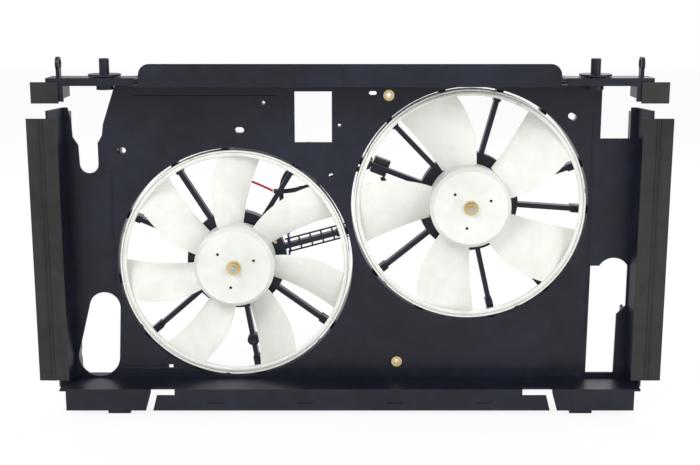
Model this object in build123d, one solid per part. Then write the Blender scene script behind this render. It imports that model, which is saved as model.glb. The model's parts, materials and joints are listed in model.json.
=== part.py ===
from build123d import *
from math import cos, hypot, pi, radians, sin
import os

# Twin radiator cooling fan: a moulded shroud with two ringed fans, each on its own motor.
# +X is to the right seen from the radiator, +Y goes to the rear (motor side), +Z is up.
# The model is drawn with Y = 0 on the panel's front face and Z = 0 at half height, and is
# moved at the end so that the origin lies midway between the two upper location pins.

# Overall panel
panel_half_width = 380.0
panel_top = 205.0
panel_bottom = -205.0
wall = 3.0
side_depth = 40.0          # how far the side walls reach forward of the panel
side_flare = 11.0          # how far they lean outwards over that depth
side_top = 170.0           # the side walls stop short of the upper arms
top_depth = 60.0           # the top wall's reach forward
top_half_width = 275.0
lip_height = 26.0
lip_half_width = 267.0
bottom_depth = 50.0
bottom_lip_height = 27.0

# Fans and their openings
left_axis = (-155.0, -42.0)
right_axis = (160.0, 39.0)
fan_radius = 155.0         # outside of the fan's ring
fan_gap = 3.5              # between the ring and the barrel
barrel_wall = 3.0
barrel_depth = 40.0
ring_wall = 3.0
ring_front = 2.0
ring_depth = 22.0
hub_radius = 54.0
hub_wall = 2.5
hub_front = -20.0
hub_rear = 24.0
hub_round = 5.0
blade_thickness = 2.4
left_blades = 7
right_blades = 5

# Motors
carrier_radius = 68.0
carrier_wall = 2.5
carrier_front = 28.0
carrier_depth = 18.0
flange_thickness = 3.0
spoke_width = 6.5
spoke_depth = 14.0
spoke_front = 29.0
left_motor_radius = 43.0
right_motor_radius = 47.0
motor_front = 4.0
motor_rear = 56.0
can_wall = 2.0
cover_overhang = 3.0
cover_thickness = 2.5
shaft_radius = 4.0
shaft_front = -31.0
running_gap = 0.3
left_spokes = (15, 58, 95, 122, 157, 190, 221, 250, 280, 324)
right_spokes = (19, 51, 75, 104, 134, 159, 219, 247, 283, 312, 356)
left_ears = (25, 145, 265)
right_ears = (40, 160, 280)
ear_circle = 58.0
screw_radius = 2.5

# Upper arms with their location pins and eyes
pin_x = 316.0
pin_y = -25.0
pin_radius = 6.5
pin_height = 20.0
pin_seat = 216.0
seat_radius = 21.0
seat_thickness = 2.5
eye_x = 375.0
eye_outer = 9.0
eye_inner = 5.5
eye_thickness = 4.5
eye_stem = 8.0
arm_top = 212.0
arm_thickness = 10.0
arm_front = -44.0
arm_rear = -6.0
arm_inner_x = 275.0
arm_outer_x = 388.0

# Rubber seals
seal_thickness = 3.0
seal_edge_x = 416.0
seal_block_top = 207.0
seal_block_bottom = 180.0
seal_block_inner_x = 372.0
seal_block_outer_x = 407.0

# Feet with sockets at the lower corners
foot_x = 311.0
foot_half_width = 15.0
foot_bottom = -238.0
socket_radius = 7.0
socket_depth = 16.0

# Wiring, held along the carriers behind the panel
lead_radius = 1.5
sheath_radius = 3.2
wire_y = 51.0              # clear of the spokes
connector_angle = 95       # on the left carrier's upper spoke
cluster_angle = 159        # on the right carrier's spoke nearest the left fan
left_terminal_angle = -18
right_terminal_angle = 194

# Bolted points
limiter_outer = 6.0
limiter_inner = 3.3
limiter_length = 13.0
limiters = ((51.0, 186.0), (64.0, -179.0))

panel_rear = wall
opening_radius = fan_radius + fan_gap
barrel_outer = opening_radius + barrel_wall
origin_shift = Location((0, -pin_y, -pin_seat))


def slab(sketch, front, rear):
    """A flat sketch drawn in X and Z, given thickness from front to rear along Y."""
    return extrude(Plane.XZ.offset(-front) * sketch, amount=front - rear)


def at(centre, y=0.0):
    return Pos(centre[0], y, centre[1])


def turned(points):
    """A ring turned about the Y axis from (radius, y) points."""
    outline = make_face(Polyline(*points, close=True))
    return revolve(outline, Axis.Y)


def tube(inner, outer, front, rear):
    return turned([(inner, front), (outer, front), (outer, rear), (inner, rear)])


def disc(radius, front, rear):
    return slab(Circle(radius), front, rear)


def box(x0, x1, y0, y1, z0, z1):
    return Pos((x0 + x1) / 2, (y0 + y1) / 2, (z0 + z1) / 2) * Box(x1 - x0, y1 - y0, z1 - z0)


def polygon(*points):
    return make_face(Polyline(*points, close=True))


def oval(x, z, length, width, angle=0.0):
    return Pos(x, z) * Rot(0, 0, angle) * SlotOverall(length, width)


# The windows, slots and notches in the panel, in X and Z
relief_x = (-73.0, -24.0)
relief_z = (124.0, 191.0)
relief_window = Pos(sum(relief_x) / 2, sum(relief_z) / 2) * Rectangle(
    relief_x[1] - relief_x[0], relief_z[1] - relief_z[0])
left_notch = polygon(
    (-305, 210), (-326, 148), (-328, 133), (-334, 123), (-334, 95), (-359, 95), (-360, 120),
    (-367, 131), (-368, 154), (-372, side_top), (-400, side_top), (-400, 210))
left_notch += Pos(-346.5, 95) * Circle(12.5)
left_slot = make_hull(
    (Pos(-333.5, -102) * Circle(21)).edges() + (Pos(-344, -172) * Circle(28)).edges())
right_window = polygon(
    (331, 129), (370, 129), (370, side_top), (400, side_top), (400, 198), (331, 198))
right_slot = make_face(
    Polyline((337, -44), (325, -44), (324, -195), (362, -195), (363, -112), (375, -100), (375, -44))
    + ThreePointArc((375, -44), (356, -33), (337, -44)))
small_holes = (
    oval(-303, 113, 12, 8), oval(-146, 140, 12, 8), oval(293, 158, 12, 8, -30),
    oval(30, 189, 10, 5), Pos(-114, 176) * Circle(2.5), Pos(-14, 146) * Circle(2.5),
    Pos(-25, 79) * Circle(3.2), Pos(-246, -186) * Rectangle(6, 5))


def panel_sketch():
    face = polygon(
        (-panel_half_width, panel_bottom), (panel_half_width, panel_bottom),
        (panel_half_width, panel_top), (-panel_half_width, panel_top))
    for cut in (relief_window, left_notch, left_slot, right_window, right_slot, *small_holes):
        face -= cut
    for x, z in limiters:
        face -= Pos(x, z) * Circle(limiter_outer)
    for x, z in (left_axis, right_axis):
        face -= Pos(x, z) * Circle(opening_radius)
    return face


def side_wall(sign, low, high):
    """The wall that leans outwards from the panel's side edge to the seal."""
    foot = sign * panel_half_width
    lip = sign * (panel_half_width + side_flare)
    outline = polygon(
        (foot - sign * wall, 0), (foot, 0), (lip, -side_depth), (lip - sign * wall, -side_depth))
    return Pos(0, 0, low) * extrude(outline, amount=high - low)


def top_rail():
    """The top wall with its stepped ribs and the upright air guide along its front edge."""
    plate = box(-top_half_width, top_half_width, -top_depth, 0, panel_top - wall, panel_top)
    guide = slab(
        Pos(0, panel_top + (lip_height - wall) / 2) * Rectangle(
            2 * lip_half_width, lip_height + wall), -top_depth, -top_depth + wall)
    corners = guide.edges().filter_by(Axis.Y).group_by(Axis.Z)[-1]
    rail = plate + fillet(corners, 14)
    for y in (-46.0, -34.0, -14.0):
        rail += box(-top_half_width, top_half_width, y, y + 2.4, panel_top - 0.1, panel_top + 3)
    for x in range(-240, 241, 60):
        rail += box(x - 1.2, x + 1.2, -top_depth + 1, -46, panel_top - 0.1, panel_top + 12)
    return rail


def bottom_rail():
    """The bottom wall and the lip that hangs from its front edge, slit near both ends."""
    reach = panel_half_width + side_flare - 2
    plate = box(-reach, reach, -bottom_depth, 0, panel_bottom, panel_bottom + wall)
    lip = box(-reach + 8, reach - 8, -bottom_depth, -bottom_depth + wall,
              panel_bottom - bottom_lip_height, panel_bottom + wall)
    rail = plate + lip
    rail += box(-225, 228, -24, -21.6, panel_bottom - 10, panel_bottom + 0.1)
    for sign, inner, outer in ((-1, 235, 267), (1, 231, 271)):
        x0, x1 = sorted((sign * inner, sign * outer))
        rail -= box(x0, x1, -bottom_depth - 1, -bottom_depth + 8, panel_bottom - 6, panel_bottom + 4)
        slit = polygon((sign * outer, panel_bottom - 2), (sign * (outer - 9), panel_bottom - 2),
                       (sign * (outer + 2), -250), (sign * (outer + 12), -250))
        rail -= slab(slit, -bottom_depth - 1, -bottom_depth + 8)
    for x in (-180, -60, 60, 180):
        rail -= box(x - 11, x + 11, -bottom_depth - 1, -bottom_depth + 1.5,
                    panel_bottom - 17, panel_bottom - 12)
    return rail


def barrel(centre):
    return at(centre) * tube(opening_radius, barrel_outer, wall, barrel_depth)


def rear_ribs():
    """The stiffening ribs on the panel's rear face, drawn before the barrels are bored."""
    depth = 14.0
    ribs = []
    for x in (-372, -306, 322, 372):
        ribs.append(box(x - 1.2, x + 1.2, wall, wall + depth, panel_bottom + 2, side_top - 6))
    ribs.append(box(-300, 322, wall, wall + depth, panel_top - 6, panel_top - 3.6))
    ribs.append(box(-372, 372, wall, wall + depth, panel_bottom + 2, panel_bottom + 4.4))
    ribs.append(box(-80, -77.6, wall, wall + depth, 118, panel_top - 4))
    ribs.append(box(-19, -16.6, wall, wall + depth, 126, panel_top - 4))
    for z in (66.0, -2.0):
        ribs.append(box(322, 372, wall, wall + depth, z, z + 2.4))
    for z in (60.0, -20.0):
        ribs.append(box(-372, -306, wall, wall + 9, z, z + 2.4))
    for x, lean in ((20, 60), (75, -30), (130, 24), (190, -34), (250, 40), (-60, 45), (-30, -24)):
        foot = polygon((x, panel_bottom + 3), (x + 2.4, panel_bottom + 3),
                       (x + lean + 2.4, panel_bottom + 110), (x + lean, panel_bottom + 110))
        ribs.append(slab(foot, wall, wall + depth))
    return ribs


def boss(x, z, outer=8.0, depth=14.0):
    return at((x, z)) * disc(outer, wall, wall + depth)


# The panel is drawn as tiles that meet face to face, cut through its windows and fan openings
tile_columns = (
    (-panel_half_width, -346, (-140, 83)),
    (-346, left_axis[0], (-140, left_axis[1], 110)),
    (left_axis[0], sum(relief_x) / 2, (left_axis[1], sum(relief_z) / 2)),
    (sum(relief_x) / 2, right_axis[0], (right_axis[1], sum(relief_z) / 2)),
    (right_axis[0], 345, (-128, right_axis[1], 168)),
    (345, panel_half_width, (-115, right_axis[1], 166)))


def cut_away(solids, cutters):
    """What is left of each solid once every cutter is taken from it."""
    for cutter in cutters:
        solids = [rest for solid in solids for rest in (solid - cutter).solids()]
    return solids


def shroud_panel():
    plate = slab(panel_sketch(), 0, wall)
    tiles = []
    for x0, x1, splits in tile_columns:
        edges = (panel_bottom, *splits, panel_top)
        for z0, z1 in zip(edges, edges[1:]):
            tiles += (plate & box(x0, x1, 0, wall, z0, z1)).solids()
    return Compound(children=tiles)


def panel_ribs():
    """The ribs and bosses behind the panel, kept clear of its windows and of the barrels."""
    windows = [slab(c, -wall, wall + 30) for c in
               (left_notch, left_slot, right_window, right_slot, relief_window)]
    barrels = [at(c) * disc(barrel_outer, -1, barrel_depth + 1) for c in (left_axis, right_axis)]
    bosses = []
    for x, z in ((-303, 113), (-146, 140), (293, 158)):
        hole = slab(oval(x, z, 12, 8, -30 if x > 0 else 0), 0, wall + 9)
        bosses.append(boss(x, z, 10, 8) - hole)
    for x, z in limiters:
        bosses.append(at((x, z)) * tube(limiter_outer, limiter_outer + 2.5, wall, limiter_length))
    for x, z in ((-114, 176), (-14, 146)):
        bosses.append(boss(x, z, 5, 18) - at((x, z)) * disc(2.5, 0, wall + 19))
    bosses.append(boss(-114, 152, 6, 24))
    made = cut_away([solid for one in bosses for solid in one.solids()], barrels)
    for rib in rear_ribs():
        made += cut_away(rib.solids(), windows + barrels + made)
    return Compound(children=made)


def carrier(centre, motor_radius, spokes, ears):
    """The ring that holds a motor, on spokes that reach the barrel."""
    seat = motor_radius + 1.5
    ring = tube(carrier_radius - carrier_wall, carrier_radius, carrier_front,
                carrier_front + carrier_depth)
    ring += tube(seat, carrier_radius - 0.1, carrier_front, carrier_front + flange_thickness)
    start = carrier_radius - 1
    end = opening_radius + 0.6
    spoke = Pos((start + end) / 2, spoke_front + spoke_depth / 2, 0) * Box(
        end - start, spoke_depth, spoke_width)
    spoke += Pos(end - 9, spoke_front + spoke_depth / 2, 0) * Box(18, spoke_depth + 4, spoke_width + 3)
    rim = tube(opening_radius, opening_radius + 4, spoke_front - 12, spoke_front + 30)
    for angle in spokes:
        ring += Rot(0, -angle, 0) * (spoke - rim)
    for angle in ears:
        x, z = ear_circle * cos(radians(angle)), ear_circle * sin(radians(angle))
        ring += at((x, z)) * disc(5.5, carrier_front, carrier_front + flange_thickness + 3)
        ring -= at((x, z)) * disc(screw_radius, carrier_front - 1, carrier_front + 12)
    return at(centre) * ring


def blade(radii, angles, chords, pitches, y_middle, camber):
    """One blade, lofted through cambered plates that stand square to the radius."""
    sections = []
    for radius, angle, chord, pitch in zip(radii, angles, chords, pitches):
        half = chord / 2
        rise = camber * chord
        edge = 0.7
        upper = ThreePointArc((-half, edge), (0, rise + blade_thickness / 2), (half, edge))
        right = Line((half, edge), (half, -edge))
        lower = ThreePointArc((half, -edge), (0, rise - blade_thickness / 2), (-half, -edge))
        left = Line((-half, -edge), (-half, edge))
        face = make_face(upper + right + lower + left)
        along = radians(angle)
        outward = Vector(cos(along), 0, sin(along))
        around = Vector(-sin(along), 0, cos(along))
        lean = radians(pitch)
        chord_line = around * cos(lean) + Vector(0, 1, 0) * sin(lean)
        plane = Plane(origin=outward * radius + Vector(0, y_middle, 0), x_dir=chord_line, z_dir=outward)
        sections.append(plane * face)
    return loft(Sketch() + sections)


def fan(side, centre, count, first_angle, sweep, chords, pitches, camber):
    """The hub cup, the swept blades and the ring that ties their tips."""
    inner = fan_radius - ring_wall
    radii = (hub_radius - 3, 85.0, 120.0, fan_radius + 1)
    angles = tuple(first_angle - sweep * share for share in (1.0, 0.78, 0.42, 0.0))
    one = blade(radii, angles, chords, pitches, ring_front + ring_depth / 2, camber)
    one = one & tube(hub_radius, inner, hub_front, ring_front + ring_depth + 2)
    cup = turned([
        (shaft_radius, hub_front), (hub_radius - hub_round, hub_front), (hub_radius, hub_front + hub_round),
        (hub_radius, hub_rear), (hub_radius - hub_wall, hub_rear),
        (hub_radius - hub_wall, hub_front + hub_round + 1), (hub_radius - hub_round - 1, hub_front + hub_wall),
        (11, hub_front + hub_wall), (11, hub_front + 14), (shaft_radius, hub_front + 14)])
    for k in range(3):
        spot = Rot(0, -k * 120 - 20, 0) * Pos(28, hub_front + 1, 0)
        cup -= spot * Rot(90, 0, 0) * Cylinder(2.0, 6)
    ring = turned([
        (inner, ring_front + 1), (inner + 1, ring_front - 2), (fan_radius, ring_front - 2),
        (fan_radius, ring_front + ring_depth), (inner, ring_front + ring_depth)])
    for k in range(count):
        notch = box(fan_radius - 1.2, fan_radius + 1, ring_front - 3, ring_front + 1.5, -3, 3)
        ring -= Rot(0, -(first_angle + (k + 0.5) * 360 / count), 0) * notch
    blades = [at(centre) * Rot(0, -k * 360 / count, 0) * one for k in range(count)]
    return {
        f"{side}_fan_hub": at(centre) * cup,
        f"{side}_fan_blades": Compound(children=blades),
        f"{side}_fan_ring": at(centre) * ring}


def motor_parts(side, centre, radius, ears):
    """The named pieces of one motor; the shaft, winding and commutator turn with the fan."""
    parts = {}
    mid = carrier_front + flange_thickness
    can = turned([
        (11, motor_front), (radius - 4, motor_front), (radius, motor_front + 4), (radius, motor_rear),
        (radius - can_wall, motor_rear), (radius - can_wall, motor_front + 5),
        (radius - 5, motor_front + can_wall), (11, motor_front + can_wall)])
    for angle in ears:
        x, z = ear_circle * cos(radians(angle)), ear_circle * sin(radians(angle))
        can += at((x, z)) * disc(5.2, mid + 3, mid + 5)
        can += Rot(0, -angle, 0) * box(radius - 0.5, ear_circle, mid + 3, mid + 5, -5.2, 5.2)
        can -= at((x, z)) * disc(screw_radius, mid, mid + 9)
    parts[f"{side}_motor_can"] = can
    cover_radius = radius + cover_overhang
    parts[f"{side}_motor_cover"] = turned([
        (0, motor_rear + 6), (9, motor_rear + 6), (10.5, motor_rear + 5), (11, motor_rear + 1.6),
        (17, motor_rear + 1.6), (18, motor_rear + cover_thickness), (cover_radius - 1.2, motor_rear + cover_thickness),
        (cover_radius, motor_rear + 1), (cover_radius, motor_rear - 3), (cover_radius - 1.5, motor_rear - 3),
        (cover_radius - 1.5, motor_rear), (9, motor_rear), (9, motor_rear + 3.5), (0, motor_rear + 3.5)])
    parts[f"{side}_front_bearing"] = tube(shaft_radius + 0.03, 11, motor_front, motor_front + 7)
    parts[f"{side}_rear_bearing"] = tube(shaft_radius + 0.03, 9, motor_rear - 4, motor_rear + 3.4)
    magnet = tube(radius - can_wall - 6, radius - can_wall - 0.05, motor_front + 12, motor_rear - 16)
    for a in (45, 135):
        magnet -= Rot(0, a, 0) * box(-7, 7, 0, 60, -80, 80)
    parts[f"{side}_magnets"] = magnet
    holder = tube(14, radius - can_wall - 0.4, motor_rear - 11, motor_rear - 8)
    for a in (0, 90, 180, 270):
        holder += Rot(0, a, 0) * box(14.2, 24, motor_rear - 14, motor_rear - 8, -3.5, 3.5)
    brushes = [holder]
    for a in (0, 90, 180, 270):
        brushes.append(Rot(0, a, 0) * box(11.3, 13.6, motor_rear - 13, motor_rear - 9, -2.5, 2.5))
    parts[f"{side}_brush_holder"] = Compound(children=brushes)
    screws = []
    for angle in ears:
        x, z = ear_circle * cos(radians(angle)), ear_circle * sin(radians(angle))
        head = slab(RegularPolygon(4.6, 6), mid + 5, mid + 9)
        stem = disc(screw_radius - 0.1, mid - 2, mid + 5)
        screws.append(at((x, z)) * (head + stem))
    parts[f"{side}_motor_screws"] = Compound(children=screws)
    slots = turned([
        (shaft_radius, motor_front + 14), (radius - 9.5, motor_front + 14),
        (radius - 9.5, motor_rear - 18), (shaft_radius, motor_rear - 18)])
    for k in range(12):
        slots -= Rot(0, k * 30, 0) * box(radius - 20, radius, 0, 60, -1.6, 1.6)
    parts[f"{side}_armature"] = slots
    parts[f"{side}_commutator"] = tube(shaft_radius, 11, motor_rear - 15.5, motor_rear - 7)
    shaft = disc(shaft_radius, shaft_front, motor_rear + 3)
    parts[f"{side}_motor_shaft"] = shaft
    nut = slab(RegularPolygon(7.5, 6), hub_front - 7, hub_front - 1.5)
    washer = disc(9.5, hub_front - 1.5, hub_front)
    parts[f"{side}_fan_nut"] = nut + washer - disc(shaft_radius, hub_front - 9, hub_front + 2)
    return {name: at(centre) * solid for name, solid in parts.items()}


def arm(sign):
    """An upper arm: a ribbed beam from the panel to the seal block, with its pin seat and eye."""
    inner, outer = sorted((sign * arm_inner_x, sign * arm_outer_x))
    beam = box(inner, outer, arm_front, arm_rear, arm_top - 3, arm_top)
    beam += box(inner, outer, arm_front, arm_front + 3, arm_top - arm_thickness, arm_top)
    beam += box(inner, outer, arm_rear - 3, arm_rear, arm_top - arm_thickness, arm_top)
    for x in (arm_inner_x + 14, pin_x - 24, pin_x + 24, arm_outer_x - 24):
        beam += box(sign * x - 1.3, sign * x + 1.3, arm_front, arm_rear, arm_top - arm_thickness, arm_top)
    beam += box(*sorted((sign * arm_inner_x, sign * (arm_inner_x + 5))), arm_rear - 3, 0,
                arm_top - 14, arm_top)
    seat = Pos(sign * pin_x, pin_y, 0) * (
        Pos(0, 0, pin_seat - seat_thickness / 2) * Cylinder(seat_radius, seat_thickness)
        + Pos(0, 0, (arm_top + pin_seat) / 2 - 2) * Cylinder(12, pin_seat - arm_top + 3)
        + Pos(0, 0, pin_seat + pin_height / 2 - 1) * Cylinder(pin_radius, pin_height + 2)
        + Pos(0, 0, arm_top - 9) * Cylinder(11, 14))
    seat = fillet(seat.edges().group_by(Axis.Z)[-1], 1.5)
    eye_z = arm_top + eye_stem + eye_outer
    eye = Pos(sign * eye_x, pin_y, eye_z) * Rot(0, 90, 0) * Cylinder(eye_outer, eye_thickness)
    eye += box(sign * eye_x - eye_thickness / 2, sign * eye_x + eye_thickness / 2,
               pin_y - 6, pin_y + 6, arm_top - 1, eye_z)
    eye -= Pos(sign * eye_x, pin_y, eye_z) * Rot(0, 90, 0) * Cylinder(eye_inner, 20)
    end = box(*sorted((sign * (arm_outer_x - 22), sign * arm_outer_x)), arm_front, arm_front + 3,
              seal_block_bottom + 2, arm_top)
    end += box(*sorted((sign * (arm_outer_x - 22), sign * (arm_outer_x - 19))), arm_front, arm_rear,
               seal_block_bottom + 6, arm_top)
    return beam + seat + eye + end


def foot(sign):
    """A lower corner foot whose socket takes the radiator's lower peg."""
    x = sign * foot_x
    body = box(x - foot_half_width, x + foot_half_width, -44, -8, foot_bottom, panel_bottom)
    socket = Pos(x, -26, foot_bottom + socket_depth / 2) * Cylinder(socket_radius, socket_depth)
    reach = box(*sorted((sign * (foot_x + foot_half_width - 1), sign * 376)), -44, -41,
                foot_bottom + 8, panel_bottom)
    corner = slab(polygon((sign * 360, foot_bottom + 4), (sign * 380, foot_bottom + 4),
                          (sign * 380, foot_bottom + 20)), -50, 0)
    shelf = box(*sorted((sign * (foot_x + foot_half_width - 1), sign * 372)), -44, -8,
                panel_bottom - 16, panel_bottom - 13)
    return body - socket + (reach - corner) + shelf


def side_seal(sign):
    """The long rubber flap along a side wall's front edge."""
    x0, x1 = sorted((sign * (panel_half_width + side_flare - 14), sign * seal_edge_x))
    flap = box(x0, x1, -side_depth - seal_thickness, -side_depth, -192, side_top - 10)
    for x in (4.0, 9.0):
        flap += box(*sorted((sign * (panel_half_width + side_flare + x),
                             sign * (panel_half_width + side_flare + x + 1.5))),
                    -side_depth - seal_thickness - 1, -side_depth - 0.5, -192, side_top - 10)
    return flap


def seal_block(sign):
    x0, x1 = sorted((sign * seal_block_inner_x, sign * seal_block_outer_x))
    return box(x0, x1, arm_front - seal_thickness, arm_front, seal_block_bottom, seal_block_top)


def limiter_set():
    made = []
    for x, z in limiters:
        made.append(at((x, z)) * (
            tube(limiter_inner, limiter_outer, -0.6, limiter_length + 0.6)
            + tube(limiter_inner, limiter_outer + 1.2, -1.2, -0.0)))
    return Compound(children=made)


def wire(radius, *points):
    """A round lead that runs smoothly through its points."""
    path = Spline(*points)
    start = Plane(origin=path @ 0, z_dir=path % 0)
    return sweep(start * Circle(radius), path=path)


def shifted(points, back):
    return [(x, y + back, z) for x, y, z in points]


def wiring():
    left_run = [(-154.6, wire_y, 70), (-130, wire_y, 61), (-106, wire_y, 50)]
    right_run = [(95.5, wire_y, 22), (78, wire_y, 27), (60, wire_y, 43), (49.8, wire_y, 59.5)]
    parts = {
        "left_connector": at(left_axis) * Rot(0, -connector_angle, 0) * box(
            104, 124, spoke_front + spoke_depth, 59, -9, 9),
        "harness_connector": at(right_axis) * Rot(0, -cluster_angle, 0) * box(
            116, 138, spoke_front + spoke_depth, 58, -11, 11),
        "harness_bracket": box(-58, -5, wall, 36, 92, 120) - box(-54, -9, wall + 3, 37, 96, 121),
        "left_terminal_block": at(left_axis) * Rot(0, -left_terminal_angle, 0) * box(
            51, 61, carrier_front + flange_thickness, 53, -8, 8),
        "right_terminal_block": at(right_axis) * Rot(0, -right_terminal_angle, 0) * box(
            54, 63.5, carrier_front + flange_thickness, 53, -8, 8),
        "left_red_lead": wire(lead_radius, *shifted(left_run, -1.7)),
        "left_white_lead": wire(lead_radius, *shifted(left_run, 1.7)),
        "left_trunk_sheath": wire(
            sheath_radius, (-105, wire_y, 49.6), (-68, wire_y, 53), (-31, wire_y, 66),
            (0, wire_y, 77), (27.4, wire_y, 83.5)),
        "left_blue_lead": wire(
            lead_radius, (-95.8, wire_y - 3, -62), (-86, wire_y - 1, -46), (-86, wire_y, -12)),
        "left_loop_sheath": wire(
            sheath_radius, (-86, wire_y, -11), (-92, wire_y + 4, 20), (-95, wire_y + 8.5, 48),
            (-88, wire_y + 7, 72), (-67, wire_y + 3, 87), (-41, wire_y, 91), (-10, wire_y, 93),
            (31.0, wire_y, 93.3)),
        "right_red_lead": wire(lead_radius, *shifted(right_run, -1.7)),
        "right_white_lead": wire(lead_radius, *shifted(right_run, 1.7)),
        "right_sheath": wire(sheath_radius, (49, wire_y, 60.9), (45, wire_y, 67), (44.1, wire_y, 69)),
    }
    return parts


left_chords = (38.0, 50.0, 56.0, 56.0)
right_chords = (50.0, 68.0, 80.0, 82.0)
left_pitches = (-30.0, -25.0, -21.0, -18.0)
right_pitches = (26.0, 20.0, 16.0, 13.0)

nodes = {
    "shroud_panel": shroud_panel(),
    "left_motor_carrier": carrier(left_axis, left_motor_radius, left_spokes, left_ears),
    "right_motor_carrier": carrier(right_axis, right_motor_radius, right_spokes, right_ears),
    "panel_ribs": panel_ribs(),
    "left_barrel": barrel(left_axis),
    "right_barrel": barrel(right_axis),
    "top_rail": top_rail(),
    "bottom_rail": bottom_rail(),
    "left_side_wall": side_wall(-1, panel_bottom + wall, side_top),
    "right_side_wall": side_wall(1, panel_bottom + wall, side_top),
    "upper_left_arm": arm(-1),
    "upper_right_arm": arm(1),
    "lower_left_foot": foot(-1),
    "lower_right_foot": foot(1),
    "left_side_seal": side_seal(-1),
    "right_side_seal": side_seal(1),
    "upper_left_seal_block": seal_block(-1),
    "upper_right_seal_block": seal_block(1),
    "compression_limiters": limiter_set(),
}
nodes.update(fan("left", left_axis, left_blades, 85.3, -12.0, left_chords, left_pitches, 0.05))
nodes.update(fan("right", right_axis, right_blades, 115.4, 10.0, right_chords, right_pitches, 0.05))
nodes.update(wiring())
nodes.update(motor_parts("left", left_axis, left_motor_radius, left_ears))
nodes.update(motor_parts("right", right_axis, right_motor_radius, right_ears))

os.makedirs("parts", exist_ok=True)
for name, solid in nodes.items():
    export_step(origin_shift * solid, f"parts/{name}.step")
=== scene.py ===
import json
from math import cos, pi, radians, sin

import bmesh
import bpy
from mathutils import Matrix, Vector


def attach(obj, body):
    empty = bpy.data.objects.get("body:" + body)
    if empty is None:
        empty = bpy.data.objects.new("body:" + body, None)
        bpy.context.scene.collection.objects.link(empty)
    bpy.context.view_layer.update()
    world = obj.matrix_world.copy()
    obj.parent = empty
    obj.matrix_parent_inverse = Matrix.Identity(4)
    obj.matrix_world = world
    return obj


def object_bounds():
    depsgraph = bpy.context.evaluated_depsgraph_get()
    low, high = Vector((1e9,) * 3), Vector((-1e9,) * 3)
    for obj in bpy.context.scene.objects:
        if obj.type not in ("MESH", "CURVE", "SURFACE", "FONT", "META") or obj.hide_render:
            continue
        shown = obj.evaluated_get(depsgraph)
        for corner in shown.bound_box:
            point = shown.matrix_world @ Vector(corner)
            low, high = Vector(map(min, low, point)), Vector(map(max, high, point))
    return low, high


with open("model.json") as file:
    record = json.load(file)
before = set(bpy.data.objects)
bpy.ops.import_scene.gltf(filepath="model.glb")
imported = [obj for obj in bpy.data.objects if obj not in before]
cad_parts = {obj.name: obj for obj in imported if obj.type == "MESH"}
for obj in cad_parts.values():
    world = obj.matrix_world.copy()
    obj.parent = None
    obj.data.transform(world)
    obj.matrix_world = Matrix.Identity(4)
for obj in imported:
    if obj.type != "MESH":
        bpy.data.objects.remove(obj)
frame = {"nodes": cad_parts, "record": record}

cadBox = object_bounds()
print("frame loaded")


# A shader output that arithmetic can be written with
class Socket:
    def __init__(self, tree, output):
        self.tree = tree
        self.output = output

    def math(self, operation, other):
        node = self.tree.nodes.new("ShaderNodeMath")
        node.operation = operation
        self.tree.links.new(self.output, node.inputs[0])
        if isinstance(other, Socket):
            self.tree.links.new(other.output, node.inputs[1])
        else:
            node.inputs[1].default_value = other
        return Socket(self.tree, node.outputs[0])

    def __add__(self, other):
        return self.math("ADD", other)

    def __mul__(self, other):
        return self.math("MULTIPLY", other)

    def __gt__(self, other):
        return self.math("GREATER_THAN", other)


# One Principled material, varied over the piece's own coordinates
class Shader:
    def __init__(self, name, **values):
        self.material = bpy.data.materials.new(name)
        self.material.use_nodes = True
        self.tree = self.material.node_tree
        self.surface = self.tree.nodes["Principled BSDF"]
        for key, value in values.items():
            self.surface.inputs[key.replace("_", " ")].default_value = value
        self.place = self.node("ShaderNodeTexCoord", "Object")

    def node(self, kind, output, **inputs):
        made = self.tree.nodes.new(kind)
        for key, value in inputs.items():
            if isinstance(value, Socket):
                self.tree.links.new(value.output, made.inputs[key])
            else:
                made.inputs[key].default_value = value
        return Socket(self.tree, made.outputs[output])

    def noise(self, scale, detail):
        return self.node("ShaderNodeTexNoise", "Fac", Vector=self.place, Scale=scale, Detail=detail)

    def ramp(self, fac, span, first, last):
        made = self.tree.nodes.new("ShaderNodeValToRGB")
        for stop, place, color in zip(made.color_ramp.elements, span, (first, last)):
            stop.position = place
            stop.color = (*color, 1.0)
        self.tree.links.new(fac.output, made.inputs["Fac"])
        return Socket(self.tree, made.outputs["Color"])

    def spread(self, fac, span):
        limits = {"To Min": span[0], "To Max": span[1]}
        return self.node("ShaderNodeMapRange", "Result", Value=fac, **limits)

    def feed(self, name, socket):
        self.tree.links.new(socket.output, self.surface.inputs[name])

    def bump(self, height, strength, distance):
        made = self.node("ShaderNodeBump", "Normal", Height=height, Strength=strength, Distance=distance)
        self.feed("Normal", made)


def blend(first, second, shares):
    return first * shares[0] + second * shares[1]


# Moulded plastic: slow flow marks in colour and gloss, and a fine spark-eroded grain
moulded = {
    "flow": (9.0, 6.0), "scuff": (55.0, 8.0), "grainDetail": 3.0, "tone": (0.35, 0.68),
    "colorShares": (0.6, 0.4), "glossShares": (0.5, 0.5), "bumpShares": (0.7, 0.3), "depth": 0.0004}


def plastic(name, dark, light, rough, grain, strength, **extra):
    made = Shader(name, **extra)
    flow = made.noise(*moulded["flow"])
    scuff = made.noise(*moulded["scuff"])
    tone = blend(flow, scuff, moulded["colorShares"])
    made.feed("Base Color", made.ramp(tone, moulded["tone"], dark, light))
    made.feed("Roughness", made.spread(blend(flow, scuff, moulded["glossShares"]), rough))
    fine = made.noise(grain, moulded["grainDetail"])
    made.bump(blend(fine, scuff, moulded["bumpShares"]), strength, moulded["depth"])
    return made.material


# Plated or turned metal, with cloudy tone and small scratches
plated = {
    "cloud": (38.0, 7.0), "grainDetail": 5.0, "tone": (0.3, 0.7), "glossShares": (0.6, 0.4), "depth": 0.0002}


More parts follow.
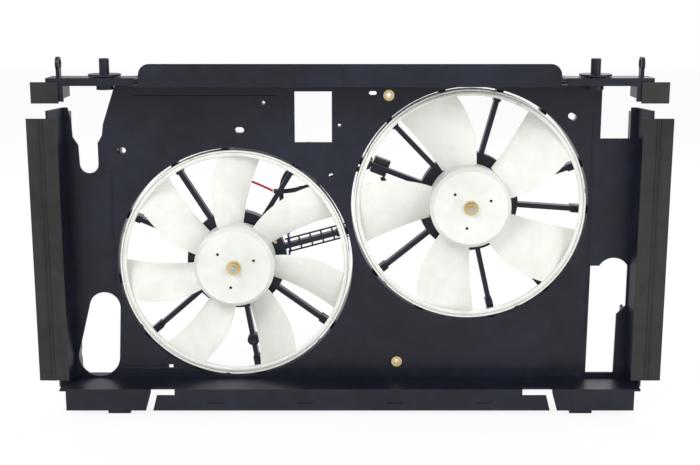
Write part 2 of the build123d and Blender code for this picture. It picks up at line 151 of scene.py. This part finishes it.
def metal(name, dark, light, rough, grain, strength):
    made = Shader(name, Metallic=1.0)
    cloud = made.noise(*plated["cloud"])
    fine = made.noise(grain, plated["grainDetail"])
    made.feed("Base Color", made.ramp(cloud, plated["tone"], dark, light))
    made.feed("Roughness", made.spread(blend(cloud, fine, plated["glossShares"]), rough))
    made.bump(fine, strength, plated["depth"])
    return made.material


# Each finish: name, darkest and lightest colour, least and most roughness, grain scale, bump strength
finishes = {
    "shroud_plastic": plastic(
        "shroudPlastic", (0.004, 0.005, 0.010), (0.011, 0.013, 0.026), (0.26, 0.42), 1500, 0.16,
        Specular_IOR_Level=0.32),
    "seal_rubber": plastic(
        "sealRubber", (0.014, 0.013, 0.013), (0.034, 0.032, 0.030), (0.58, 0.82), 700, 0.35,
        Specular_IOR_Level=0.3),
    "fan_plastic": plastic(
        "fanPlastic", (0.66, 0.68, 0.62), (0.80, 0.81, 0.76), (0.30, 0.44), 900, 0.07,
        Subsurface_Weight=0.25, Subsurface_Radius=(0.02, 0.02, 0.016), Subsurface_Scale=0.25),
    "zinc_plate": metal(
        "zincPlate", (0.56, 0.64, 0.72), (0.76, 0.82, 0.87), (0.20, 0.36), 900, 0.10),
    "brass": metal("brassTurned", (0.62, 0.46, 0.20), (0.82, 0.68, 0.38), (0.22, 0.38), 1500, 0.12),
    "plated_screws": metal("screwPlate", (0.55, 0.45, 0.22), (0.78, 0.66, 0.40), (0.25, 0.42), 1500, 0.12),
    "steel": metal("groundSteel", (0.42, 0.42, 0.43), (0.62, 0.62, 0.63), (0.22, 0.40), 1500, 0.10),
    "black_paint": plastic(
        "canPaint", (0.012, 0.013, 0.015), (0.028, 0.030, 0.034), (0.24, 0.38), 800, 0.10, Coat_Weight=0.2),
    "ferrite": plastic("ferriteBlock", (0.05, 0.05, 0.055), (0.12, 0.12, 0.13), (0.55, 0.75), 1100, 0.3),
    "carbon": plastic("carbonBrush", (0.02, 0.02, 0.02), (0.05, 0.05, 0.05), (0.5, 0.7), 1500, 0.2),
    "red_wire": plastic("redWire", (0.50, 0.015, 0.04), (0.66, 0.03, 0.07), (0.30, 0.45), 1200, 0.1),
    "white_wire": plastic("whiteWire", (0.68, 0.66, 0.62), (0.82, 0.80, 0.77), (0.30, 0.45), 1200, 0.1),
    "blue_wire": plastic("blueWire", (0.015, 0.06, 0.42), (0.03, 0.11, 0.58), (0.30, 0.45), 1200, 0.1),
    "sheath_plastic": plastic(
        "sheathPlastic", (0.008, 0.008, 0.009), (0.02, 0.02, 0.022), (0.35, 0.5), 900, 0.2),
    "connector_plastic": plastic(
        "connectorPlastic", (0.009, 0.009, 0.010), (0.022, 0.022, 0.024), (0.28, 0.42), 1300, 0.15),
}
slotOf = {part["node"]: part["material_slot"] for part in frame["record"]["subparts"]}
for name, obj in frame["nodes"].items():
    finish = finishes[slotOf[name]]
    if len(obj.material_slots) == 0:
        obj.data.materials.append(finish)
    for place in obj.material_slots:
        place.material = finish
print("materials on", len(slotOf), "nodes")


# Put a finished bmesh in the scene as one piece that rides on a body
def addPiece(name, mesh, body, slot, smooth=True):
    bmesh.ops.recalc_face_normals(mesh, faces=mesh.faces)
    data = bpy.data.meshes.new(name)
    mesh.to_mesh(data)
    mesh.free()
    for face in data.polygons:
        face.use_smooth = smooth
    obj = bpy.data.objects.new(name, data)
    bpy.context.scene.collection.objects.link(obj)
    obj.data.materials.append(finishes[slot])
    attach(obj, body)
    return obj


# A bevelled block; turn is about the Y axis, in degrees
def addBlock(mesh, size, place, turn=0.0, bevel=0.0004):
    made = bmesh.ops.create_cube(mesh, size=1.0)["verts"]
    move = Matrix.Translation(place) @ Matrix.Rotation(radians(-turn), 4, "Y")
    bmesh.ops.transform(mesh, matrix=move @ Matrix.Diagonal((*size, 1.0)), verts=made)
    edges = {edge for vert in made for edge in vert.link_edges}
    bmesh.ops.bevel(mesh, geom=list(edges), offset=bevel, segments=2, affect="EDGES", profile=0.5)


# An open sleeve round a line that runs along a direction
def addBand(mesh, place, along, radius, width):
    turn = Vector((0, 0, 1)).rotation_difference(Vector(along)).to_matrix().to_4x4()
    move = Matrix.Translation(place) @ turn
    outer = bmesh.ops.create_circle(mesh, segments=28, radius=radius)["verts"]
    ring = {edge for vert in outer for edge in vert.link_edges}
    lifted = bmesh.ops.extrude_edge_only(mesh, edges=list(ring))["geom"]
    top = [item for item in lifted if isinstance(item, bmesh.types.BMVert)]
    bmesh.ops.translate(mesh, vec=(0, 0, width), verts=top)
    bmesh.ops.transform(mesh, matrix=move @ Matrix.Translation((0, 0, -width / 2)), verts=outer + top)


# A ring turned about a line along Y from a closed (radius, y) outline
def addTurned(mesh, axis, profile, steps):
    verts = [mesh.verts.new((axis[0] + radius, y, axis[1])) for radius, y in profile]
    edges = [mesh.edges.new((verts[step - 1], verts[step])) for step in range(len(verts))]
    bmesh.ops.spin(
        mesh, geom=verts + edges, cent=(axis[0], 0, axis[1]), axis=(0, 1, 0), angle=2 * pi, steps=steps)
    bmesh.ops.remove_doubles(mesh, verts=mesh.verts, dist=0.00001)


# A place at a distance and an angle round a fan's axis
def around(axis, reach, turn, y):
    return (axis[0] + reach * cos(turn), y, axis[1] + reach * sin(turn))


leftAxis = (-0.155, -0.258)
rightAxis = (0.160, -0.177)

# The rolled front lips of the fan rings, with their balance tabs, in degrees on from the first
lip = {
    "inner": 0.1466, "outer": 0.1521, "front": 0.0262, "rear": 0.0284, "roll": 0.0008, "steps": 128,
    "tabSize": (0.0042, 0.0016, 0.009), "tabRise": 0.0003, "tabBevel": 0.0003,
    "fans": (("left", leftAxis, 90, (0, 38, 180)), ("right", rightAxis, 64, (0, 120, 205)))}
for side, axis, first, tabs in lip["fans"]:
    mesh = bmesh.new()
    addTurned(mesh, axis, (
        (lip["inner"] + lip["roll"], lip["front"]), (lip["outer"], lip["front"] - lip["roll"]),
        (lip["outer"], lip["rear"]), (lip["inner"] + lip["roll"], lip["rear"]),
        (lip["inner"], (lip["front"] + lip["rear"]) / 2)), lip["steps"])
    reach = (lip["inner"] + lip["outer"]) / 2
    for step in tabs:
        place = around(axis, reach, radians(first + step), lip["front"] - lip["tabRise"])
        addBlock(mesh, lip["tabSize"], place, first + step, lip["tabBevel"])
    addPiece(side + "RingLip", mesh, side + "_rotor", "fan_plastic")
print("ring lips rolled")

# A clip boss on the left carrier's lower spoke
clip = {
    "angle": 280, "reach": 0.117, "steps": 48,
    "profile": ((0.0026, 0.0536), (0.0076, 0.0536), (0.0082, 0.0542), (0.0082, 0.0690), (0.0026, 0.0690))}
mesh = bmesh.new()
spot = around(leftAxis, clip["reach"], radians(clip["angle"]), 0)
addTurned(mesh, (spot[0], spot[2]), clip["profile"], clip["steps"])
addPiece("clipBoss", mesh, "shroud", "shroud_plastic")

# Low moulded creases on the panel's front face: x, z, length along x, length along z
crease = {
    "y": 0.0250, "thick": 0.0018, "bevel": 0.0006,
    "lines": (
        (-0.270, -0.405, 0.084, 0.0026), (0.115, -0.405, 0.400, 0.0026), (-0.190, -0.031, 0.190, 0.0024),
        (-0.318, -0.208, 0.0026, 0.160), (0.3215, -0.205, 0.0026, 0.300), (-0.0860, -0.060, 0.0024, 0.052))}
mesh = bmesh.new()
for x, z, wide, tall in crease["lines"]:
    addBlock(mesh, (wide, crease["thick"], tall), (x, crease["y"], z), bevel=crease["bevel"])
addPiece("panelCreases", mesh, "shroud", "shroud_plastic", smooth=False)
print("panel creases and clip boss")

# Pressed ribs and dimples of the two motor covers; reaches and lengths are shares of the radius
cover = {
    "y": 0.0835, "motors": (("left", leftAxis, 0.043, -18), ("right", rightAxis, 0.047, 194)),
    "ribLeans": (-14, 14), "ribReach": 0.66, "ribLength": 0.48, "ribWidth": 0.0022, "ribThick": 0.0014,
    "dimples": 6, "firstDimple": 40, "dimpleStep": 56, "dimpleReach": 0.86, "dimpleRadius": 0.0022,
    "dimpleFlat": 0.35}
for side, axis, radius, aim in cover["motors"]:
    mesh = bmesh.new()
    for lean in cover["ribLeans"]:
        place = around(axis, radius * cover["ribReach"], radians(aim + lean), cover["y"])
        size = (radius * cover["ribLength"], cover["ribThick"], cover["ribWidth"])
        addBlock(mesh, size, place, aim + lean)
    for step in range(cover["dimples"]):
        turn = radians(aim + cover["firstDimple"] + step * cover["dimpleStep"])
        spot = bmesh.ops.create_uvsphere(
            mesh, u_segments=16, v_segments=8, radius=cover["dimpleRadius"])["verts"]
        move = Matrix.Translation(around(axis, radius * cover["dimpleReach"], turn, cover["y"]))
        squash = Matrix.Diagonal((1.0, cover["dimpleFlat"], 1.0, 1.0))
        bmesh.ops.transform(mesh, matrix=move @ squash, verts=spot)
    addPiece(side + "CoverPressing", mesh, "shroud", "zinc_plate")
print("motor covers pressed")

# Blank tags on the rear of the air guide
tag = {
    "size": (0.044, 0.0004, 0.013), "y": -0.0318, "z": 0.003, "bevel": 0.0001,
    "places": (-0.118, -0.062, 0.002)}
tagPaper = plastic("tagPaper", (0.72, 0.72, 0.72), (0.82, 0.82, 0.82), (0.45, 0.6), 900, 0.05)
mesh = bmesh.new()
for x in tag["places"]:
    addBlock(mesh, tag["size"], (x, tag["y"], tag["z"]), bevel=tag["bevel"])
tags = addPiece("blankTags", mesh, "shroud", "white_wire", smooth=False)
tags.data.materials[0] = tagPaper

# Ladder guard beside the left motor
ladder = {
    "angle": 15, "near": 0.070, "far": 0.156, "half": 0.009, "rungs": 6, "y": 0.061,
    "thick": 0.0022, "end": 0.004}
mesh = bmesh.new()
turn = radians(ladder["angle"])
outward = Vector((cos(turn), 0, sin(turn)))
sideways = Vector((-sin(turn), 0, cos(turn)))
hub = Vector((leftAxis[0], ladder["y"], leftAxis[1]))
middle = (ladder["near"] + ladder["far"]) / 2
length = ladder["far"] - ladder["near"]
for hand in (-1, 1):
    place = hub + outward * middle + sideways * hand * ladder["half"]
    addBlock(mesh, (length, ladder["thick"], ladder["thick"]), place, ladder["angle"])
for step in range(ladder["rungs"]):
    reach = ladder["near"] + ladder["end"] + step * (length - 2 * ladder["end"]) / (ladder["rungs"] - 1)
    size = (ladder["thick"], ladder["thick"], ladder["half"] * 2)
    addBlock(mesh, size, hub + outward * reach, ladder["angle"])
addPiece("ladderGuard", mesh, "shroud", "shroud_plastic", smooth=False)

# Tie bands round the trunk and the loop: place, direction of the sheath
tie = {
    "radius": 0.0037, "width": 0.004,
    "places": (
        ((-0.068, 0.076, -0.163), (1, 0, 0.25)), ((-0.031, 0.076, -0.150), (1, 0, 0.4)),
        ((0.000, 0.076, -0.139), (1, 0, 0.3)), ((-0.041, 0.076, -0.125), (1, 0, 0.05)),
        ((-0.010, 0.076, -0.123), (1, 0, 0.02)), ((-0.092, 0.080, -0.196), (-0.1, 0.15, 1)))}
mesh = bmesh.new()
for place, along in tie["places"]:
    addBand(mesh, place, along, tie["radius"], tie["width"])
addPiece("tieBands", mesh, "shroud", "sheath_plastic")
print("wiring dressed")

# Floor, pale enough to meet the white background, which still takes the shadow
ground = {"size": 12, "drop": 0.0005, "rough": 0.8, "color": (0.93, 0.93, 0.93, 1.0), "glow": 0.88}
floorZ = cadBox[0][2]
bpy.ops.mesh.primitive_plane_add(size=ground["size"], location=(0, 0, floorZ - ground["drop"]))
floor = bpy.context.object
floor.name = "floor"
floorShader = Shader("floorPale", Roughness=ground["rough"], Base_Color=ground["color"])
floor.data.materials.append(floorShader.material)


# Outputs that are one for rays of a kind and nought for the others
def rayKinds(tree, *kinds):
    rays = tree.nodes.new("ShaderNodeLightPath")
    return [Socket(tree, rays.outputs[kind]) for kind in kinds]


floorTree = floorShader.tree
fromCamera, fromGloss, fromGlass = rayKinds(
    floorTree, "Is Camera Ray", "Is Glossy Ray", "Is Transmission Ray")
seenDirectly = (fromCamera + fromGloss + fromGlass) > 0.5
glow = floorTree.nodes.new("ShaderNodeEmission")
floorMix = floorTree.nodes.new("ShaderNodeMixShader")
floorTree.links.new((seenDirectly * ground["glow"]).output, floorMix.inputs["Fac"])
floorTree.links.new(floorShader.surface.outputs[0], floorMix.inputs[1])
floorTree.links.new(glow.outputs[0], floorMix.inputs[2])
floorTree.links.new(floorMix.outputs[0], floorTree.nodes["Material Output"].inputs["Surface"])

# World: white where the camera sees it, and a soft cool light for everything else
sky = {"light": (0.97, 0.98, 1.0, 1.0), "strength": 0.75, "white": (1.0, 1.0, 1.0, 1.0)}
world = bpy.data.worlds.new("studio")
bpy.context.scene.world = world
world.use_nodes = True
worldTree = world.node_tree
worldTree.nodes.clear()
worldCamera = rayKinds(worldTree, "Is Camera Ray")[0]
soft = worldTree.nodes.new("ShaderNodeBackground")
soft.inputs["Color"].default_value = sky["light"]
soft.inputs["Strength"].default_value = sky["strength"]
white = worldTree.nodes.new("ShaderNodeBackground")
white.inputs["Color"].default_value = sky["white"]
worldMix = worldTree.nodes.new("ShaderNodeMixShader")
output = worldTree.nodes.new("ShaderNodeOutputWorld")
worldTree.links.new(worldCamera.output, worldMix.inputs["Fac"])
worldTree.links.new(soft.outputs[0], worldMix.inputs[1])
worldTree.links.new(white.outputs[0], worldMix.inputs[2])
worldTree.links.new(worldMix.outputs[0], output.inputs["Surface"])

# Lamps: name, place, size, power
lamps = {
    "aim": (0, 0, -0.22),
    "lights": (
        ("keyLamp", (-1.3, -1.8, 1.5), (1.2, 0.9), 34),
        ("fillLamp", (1.7, -1.5, 0.5), (1.0, 1.0), 16),
        ("backLamp", (0.6, 1.9, 1.3), (1.4, 0.9), 26))}
for name, place, size, power in lamps["lights"]:
    data = bpy.data.lights.new(name, "AREA")
    data.shape = "RECTANGLE"
    data.size, data.size_y = size
    data.energy = power
    obj = bpy.data.objects.new(name, data)
    obj.location = place
    aim = Vector(lamps["aim"]) - Vector(place)
    obj.rotation_euler = aim.to_track_quat("-Z", "Y").to_euler()
    bpy.context.scene.collection.objects.link(obj)

# Camera, in front of the part and a little above it
view = {"distance": 1.62, "elevation": 12.0, "lens": 62.0, "target": (0.0, 0.025, -0.214)}
lift = radians(view["elevation"])
target = Vector(view["target"])
eye = target + view["distance"] * Vector((0, -cos(lift), sin(lift)))
camera = bpy.data.objects.new("camera", bpy.data.cameras.new("camera"))
camera.data.lens = view["lens"]
camera.location = eye
camera.rotation_euler = (target - eye).to_track_quat("-Z", "Y").to_euler()
bpy.context.scene.collection.objects.link(camera)
bpy.context.scene.camera = camera
bpy.context.scene.view_settings.view_transform = "Standard"
print("stage set")
